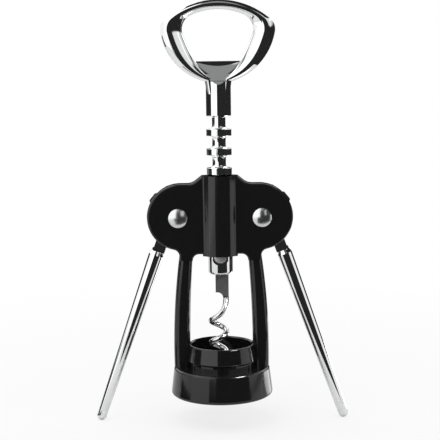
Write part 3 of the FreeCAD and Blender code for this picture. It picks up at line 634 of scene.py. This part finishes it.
def add_loop(shape, outer, inner):
    """The loop, from its left foot over the top to its right foot, between two outlines."""
    last = len(outer) - 1
    rings = []
    for number in range(-last, last + 1):
        side = -1 if number < 0 else 1
        share = abs(number) / last
        near = inner[abs(number)]
        far = outer[abs(number)]
        depth = TOP_HALF_DEPTH + (FOOT_HALF_DEPTH - TOP_HALF_DEPTH) * share
        crest = TOP_CREST + (SIDE_CREST - TOP_CREST) * smooth_step(share, 0, CREST_SHIFT)
        facet = 1 - smooth_step(share, *FACET_FADE)
        ring = []
        for across, deep in loop_section(crest, facet):
            place = (near + far) / 2 + (far - near) / 2 * across
            ring.append((side * place.x, deep * depth, STEM_BOTTOM + place.y))
        rings.append(ring)
    add_tube(shape, rings)


def add_stem(shape):
    """The stem, cut off by the web's sloping faces at the front and the back."""
    stem = bmesh.new()
    add_lathe(stem, [
        (STEM_RADIUS - STEM_EDGE, STEM_BOTTOM),
        (STEM_RADIUS, STEM_BOTTOM + STEM_EDGE),
        (STEM_RADIUS, STEM_BOTTOM + STEM_TOP),
    ])
    for side in (-1, 1):
        crease = (0, side * LIP_FACE, STEM_BOTTOM + LIP - LIP_SAG)
        cut = bmesh.ops.bisect_plane(
            stem, geom=stem.verts[:] + stem.edges[:] + stem.faces[:], plane_co=crease,
            plane_no=(0, side, WEB_SLOPE), clear_outer=True,
        )
        edges = [item for item in cut["geom_cut"] if isinstance(item, bmesh.types.BMEdge)]
        bmesh.ops.holes_fill(stem, edges=edges)
    mesh = bpy.data.meshes.new("stem")
    stem.to_mesh(mesh)
    stem.free()
    shape.from_mesh(mesh)
    bpy.data.meshes.remove(mesh)


def half_width_at(height, border):
    """How far a border, which runs downward, is from the middle at a height."""
    for high, low in zip(border, border[1:]):
        if high.y >= height >= low.y:
            return low.x + (high.x - low.x) * (height - low.y) / (high.y - low.y)
    return border[-1].x


def web_column(across, border):
    """The web's front (x, height, depth) down one column: the lip, then the sloping face."""
    crease = LIP - max(LIP_SAG * (1 - (across / LIP_ARC) ** 2), LIP_EDGE)
    column = [(across * half_width_at(LIP, border), LIP, LIP_FACE)]
    for row in range(WEB_ROWS + 1):
        height = crease + (WEB_FOOT - crease) * row / WEB_ROWS
        bend = max(1 - WEB_BLEND * row / WEB_ROWS, 0)
        top = LIP - LIP_SAG + (crease - LIP + LIP_SAG) * bend
        depth = LIP_FACE + max(top - height, 0) * WEB_SLOPE
        column.append((across * half_width_at(height, border), height, depth))
    return column


def add_web(shape, middles):
    """The plate between the arms, with its lip, its sloping faces and a flat lower end."""
    border = [
        point for point in middles if WEB_FOOT - WEB_MARGIN < point.y < LIP + WEB_MARGIN
    ]
    rings = []
    for number in range(WEB_COLUMNS + 1):
        column = web_column(2 * number / WEB_COLUMNS - 1, border)
        front = [(x, -y, STEM_BOTTOM + z) for x, z, y in column]
        back = [(x, y, STEM_BOTTOM + z) for x, z, y in column[::-1]]
        rings.append(front + back)
    add_tube(shape, rings)


def build_handle(shape):
    """The loop with its web, the stem, and the core that runs down through the rack."""
    root = LOOP_FOOT[1] - ROOT_DEPTH
    outer = outer_outline() + [Vector((STEM_RADIUS - ROOT_INSET, root))]
    inner = hole_outline() + [Vector((ROOT_MIDDLE, root))]
    add_loop(shape, outer, inner)
    add_stem(shape)
    add_web(shape, [(near + far) / 2 for near, far in zip(inner, outer)])
    core = [
        (CORE_RADIUS - CORE_EDGE, CORE_BOTTOM),
        (CORE_RADIUS, CORE_BOTTOM + CORE_EDGE),
        (CORE_RADIUS, STEM_BOTTOM + CORE_LAP),
    ]
    add_lathe(shape, core, CORE_STEPS)


new_piece("handle_cast", build_handle, "handle", "chrome_cast", sharp_angle=22)


# ---------------------------------------------------------------- studio

# soft boxes: spans of azimuth and elevation and the edge's softness in degrees, and strength
SOFT_BOXES = [
    ((-72, -27), (-20, 62), 2, 1.35),
    ((-27, -14), (-2.5, 62), 1, 1.35),
    ((-104, -70), (4, 80), 2, 1.1),
    ((-112, -70), (-21, -6), 1, 1.1),
    ((-150, -70), (45, 80), 4, 1.0),
    ((-160, -118), (-14, -4), 3, 0.4),
    ((22, 75), (12, 44), 3, 0.85),
    ((70, 135), (14, 45), 4, 0.7),
    ((-24, 20), (44, 62), 3, 0.27),
    ((110, 250), (14, 58), 6, 1.6),
    ((-250, -110), (14, 58), 6, 1.6),
]
STUDIO_DARK = 0.02
AMBIENT = 1.0

# lamps: places and sizes in metres, powers in watts, spread in degrees
OVERHEAD_PLACE = (-0.2, -0.1, 0.9)
OVERHEAD_TARGET = (0, 0, 0.05)
OVERHEAD_SIZE = 0.9
OVERHEAD_POWER = 3
LIPS_PLACE = (0.085, -0.082, 0.1)
LIPS_TARGET = (0.004, -0.016, 0.02)
LIPS_SIZE = 0.05
LIPS_POWER = 0.02
LIPS_SPREAD = 26

# the wing tips touch the floor; the bell's foot stands a little above it
FLOOR_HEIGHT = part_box("left_lever")[0][2]
FLOOR_SPAN = ((-0.5, 1.0), (-1.0, 1.0))
FLOOR_COLOUR = (0.7, 0.7, 0.7, 1)
FLOOR_ROUGHNESS = 0.9
# how far the floor's own white hides its shadows from the camera, near the object and far
# away, and the distances in metres between which it changes
FLOOR_GLOW = (0.76, 1.0)
FLOOR_FADE = (0.12, 0.36)
SHEET_LIFT = 0.0001


def upright(place, width, low, high):
    """Corners of an upright sheet that faces the object, from the middle of its foot."""
    across = Vector((place[1], -place[0], 0)).normalized() * width / 2
    foot, head = (Vector((*place, height)) for height in (low, high))
    return [foot - across, foot + across, head + across, head - across]


def lying(corners):
    """Corners of a sheet that lies on the floor."""
    return [Vector((x, y, FLOOR_HEIGHT + SHEET_LIFT)) for x, y in corners]


# sheets that only gloss shows, with their corners in metres and their glow: white cards, a
# black flag, and black cloth on the floor
SHEETS = {
    "card_behind": (upright((0.125, 0.085), 0.07, FLOOR_HEIGHT, 0.012), 4.0),
    "card_floor": (lying([(0.075, 0.03), (0.15, 0.05), (0.1, 0.12), (0.055, 0.05)]), 3.0),
    "card_left": (upright((-0.12, 0.06), 0.28, 0.143, 0.19), 1.1),
    "card_right": (upright((0.25, -0.03), 0.18, FLOOR_HEIGHT, 0.12), 1.0),
    "flag_right": (upright((0.08, 0.0), 0.2, 0.09, 0.16), STUDIO_DARK),
    "cloth_front": (
        lying([(-0.044, -0.08), (-0.55, -1.0), (1.0, -1.0), (1.0, -0.08)]), STUDIO_DARK
    ),
    "cloth_left": (
        lying([(-0.066, -0.025), (-0.19, -0.065), (-0.19, 0.056), (-0.066, 0.01)]), STUDIO_DARK
    ),
    "cloth_right": (lying([(0.2, -0.08), (1.0, -0.08), (1.0, 1.0), (0.2, 1.0)]), STUDIO_DARK),
}


def soft_box(tree, azimuth, elevation, azimuths, elevations, edge, strength):
    """The glow of a soft box in the sky: a soft-edged span of directions, in degrees.

    Azimuth is 0 in front of the object, 90 to its right and 180 behind it.
    """
    glow = strength
    for angle, (low, high) in ((azimuth, azimuths), (elevation, elevations)):
        away = math_node(tree, "SUBTRACT", angle, (low + high) / 2)
        fade = node(
            tree, "ShaderNodeMapRange",
            {
                "Value": math_node(tree, "ABSOLUTE", away),
                "From Min": (high - low) / 2 - edge,
                "From Max": (high - low) / 2 + edge,
                "To Min": 1.0,
                "To Max": 0.0,
            },
            interpolation_type="SMOOTHSTEP",
        )
        glow = math_node(tree, "MULTIPLY", glow, fade.outputs["Result"])
    return glow


def background(tree, strength):
    made = node(tree, "ShaderNodeBackground", {"Color": WHITE, "Strength": strength})
    return made.outputs[0]


def shader_mix(tree, factor, first, second):
    return node(tree, "ShaderNodeMixShader", {0: factor, 1: first, 2: second}).outputs[0]


def make_world():
    """White for the camera, even light for dull surfaces, and the soft boxes for gloss."""
    world = bpy.data.worlds.new("studio")
    bpy.context.scene.world = world
    world.use_nodes = True
    tree = world.node_tree
    tree.nodes.clear()
    towards = node(tree, "ShaderNodeTexCoord").outputs["Generated"]
    parts = node(tree, "ShaderNodeSeparateXYZ", {0: towards})
    right = parts.outputs["X"]
    front = math_node(tree, "MULTIPLY", parts.outputs["Y"], -1.0)
    azimuth = math_node(
        tree, "MULTIPLY", math_node(tree, "ARCTAN2", right, front), math.degrees(1)
    )
    elevation = math_node(
        tree, "MULTIPLY", math_node(tree, "ARCSINE", parts.outputs["Z"]), math.degrees(1)
    )
    glow = STUDIO_DARK
    for box in SOFT_BOXES:
        glow = math_node(tree, "ADD", glow, soft_box(tree, azimuth, elevation, *box))
    path = node(tree, "ShaderNodeLightPath")
    lit = shader_mix(
        tree, path.outputs["Is Glossy Ray"], background(tree, AMBIENT), background(tree, glow)
    )
    seen = shader_mix(tree, path.outputs["Is Camera Ray"], lit, background(tree, 1.0))
    node(tree, "ShaderNodeOutputWorld", {"Surface": seen})


def flat_sheet(name, corners):
    """An object with one face."""
    mesh = bpy.data.meshes.new(name)
    mesh.from_pydata(corners, [], [(0, 1, 2, 3)])
    sheet = bpy.data.objects.new(name, mesh)
    bpy.context.collection.objects.link(sheet)
    return sheet


def glow_of(tree, strength):
    made = node(tree, "ShaderNodeEmission", {"Color": WHITE, "Strength": strength})
    return made.outputs[0]


def make_floor():
    """A pale floor that keeps the object's shadow and fades into the white background."""
    (left, right), (front, back) = FLOOR_SPAN
    corners = [(left, front), (right, front), (right, back), (left, back)]
    floor = flat_sheet("floor", [(x, y, FLOOR_HEIGHT) for x, y in corners])
    material, tree, shader = new_material("pale_floor")
    shader.inputs["Base Color"].default_value = FLOOR_COLOUR
    shader.inputs["Roughness"].default_value = FLOOR_ROUGHNESS
    shader.inputs["Specular IOR Level"].default_value = 0.0
    path = node(tree, "ShaderNodeLightPath")
    place = node(tree, "ShaderNodeTexCoord").outputs["Object"]
    away = node(tree, "ShaderNodeVectorMath", {0: place}, operation="LENGTH").outputs["Value"]
    fade = ramp(tree, away, *FLOOR_FADE, *FLOOR_GLOW)
    share = math_node(tree, "MULTIPLY", path.outputs["Is Camera Ray"], fade)
    lit = shader_mix(tree, share, shader.outputs[0], glow_of(tree, 1.0))
    tree.links.new(lit, tree.nodes["Material Output"].inputs["Surface"])
    paint(floor, material)


def make_sheet(name, corners, glow):
    """A flat sheet that is seen only in reflections."""
    sheet = flat_sheet(name, corners)
    material, tree, _ = new_material(name)
    tree.links.new(glow_of(tree, glow), tree.nodes["Material Output"].inputs["Surface"])
    paint(sheet, material)
    sheet.visible_camera = False
    sheet.visible_diffuse = False
    sheet.visible_shadow = False


def area_light(name, place, target, size, power):
    """A square lamp at a place, turned towards its target."""
    data = bpy.data.lights.new(name, "AREA")
    data.size = size
    data.energy = power
    light = bpy.data.objects.new(name, data)
    light.location = place
    away = Vector(place) - Vector(target)
    light.rotation_mode = "QUATERNION"
    light.rotation_quaternion = away.to_track_quat("Z", "Y")
    bpy.context.collection.objects.link(light)
    return light


def make_lights():
    """Soft light from above for dull surfaces, and a gridded lamp that only the lips mirror."""
    overhead = area_light(
        "overhead", OVERHEAD_PLACE, OVERHEAD_TARGET, OVERHEAD_SIZE, OVERHEAD_POWER
    )
    overhead.visible_glossy = False
    lips = area_light("lips", LIPS_PLACE, LIPS_TARGET, LIPS_SIZE, LIPS_POWER)
    lips.data.spread = math.radians(LIPS_SPREAD)
    lips.visible_diffuse = False


def make_camera():
    data = bpy.data.cameras.new("camera")
    data.lens = CAMERA_LENS
    data.sensor_width = SENSOR_WIDTH
    data.clip_start = CAMERA_NEAR
    camera = bpy.data.objects.new("camera", data)
    tilt = Matrix.Rotation(math.radians(90 + CAMERA_PITCH), 4, "X")
    roll = Matrix.Rotation(math.radians(CAMERA_ROLL), 4, "Z")
    camera.matrix_world = Matrix.Translation(CAMERA_PLACE) @ tilt @ roll
    bpy.context.collection.objects.link(camera)
    bpy.context.scene.camera = camera


make_world()
make_floor()
for sheet_name, (sheet_corners, sheet_glow) in SHEETS.items():
    make_sheet(sheet_name, sheet_corners, sheet_glow)
make_lights()
make_camera()
bpy.context.scene.view_settings.view_transform = "Standard"
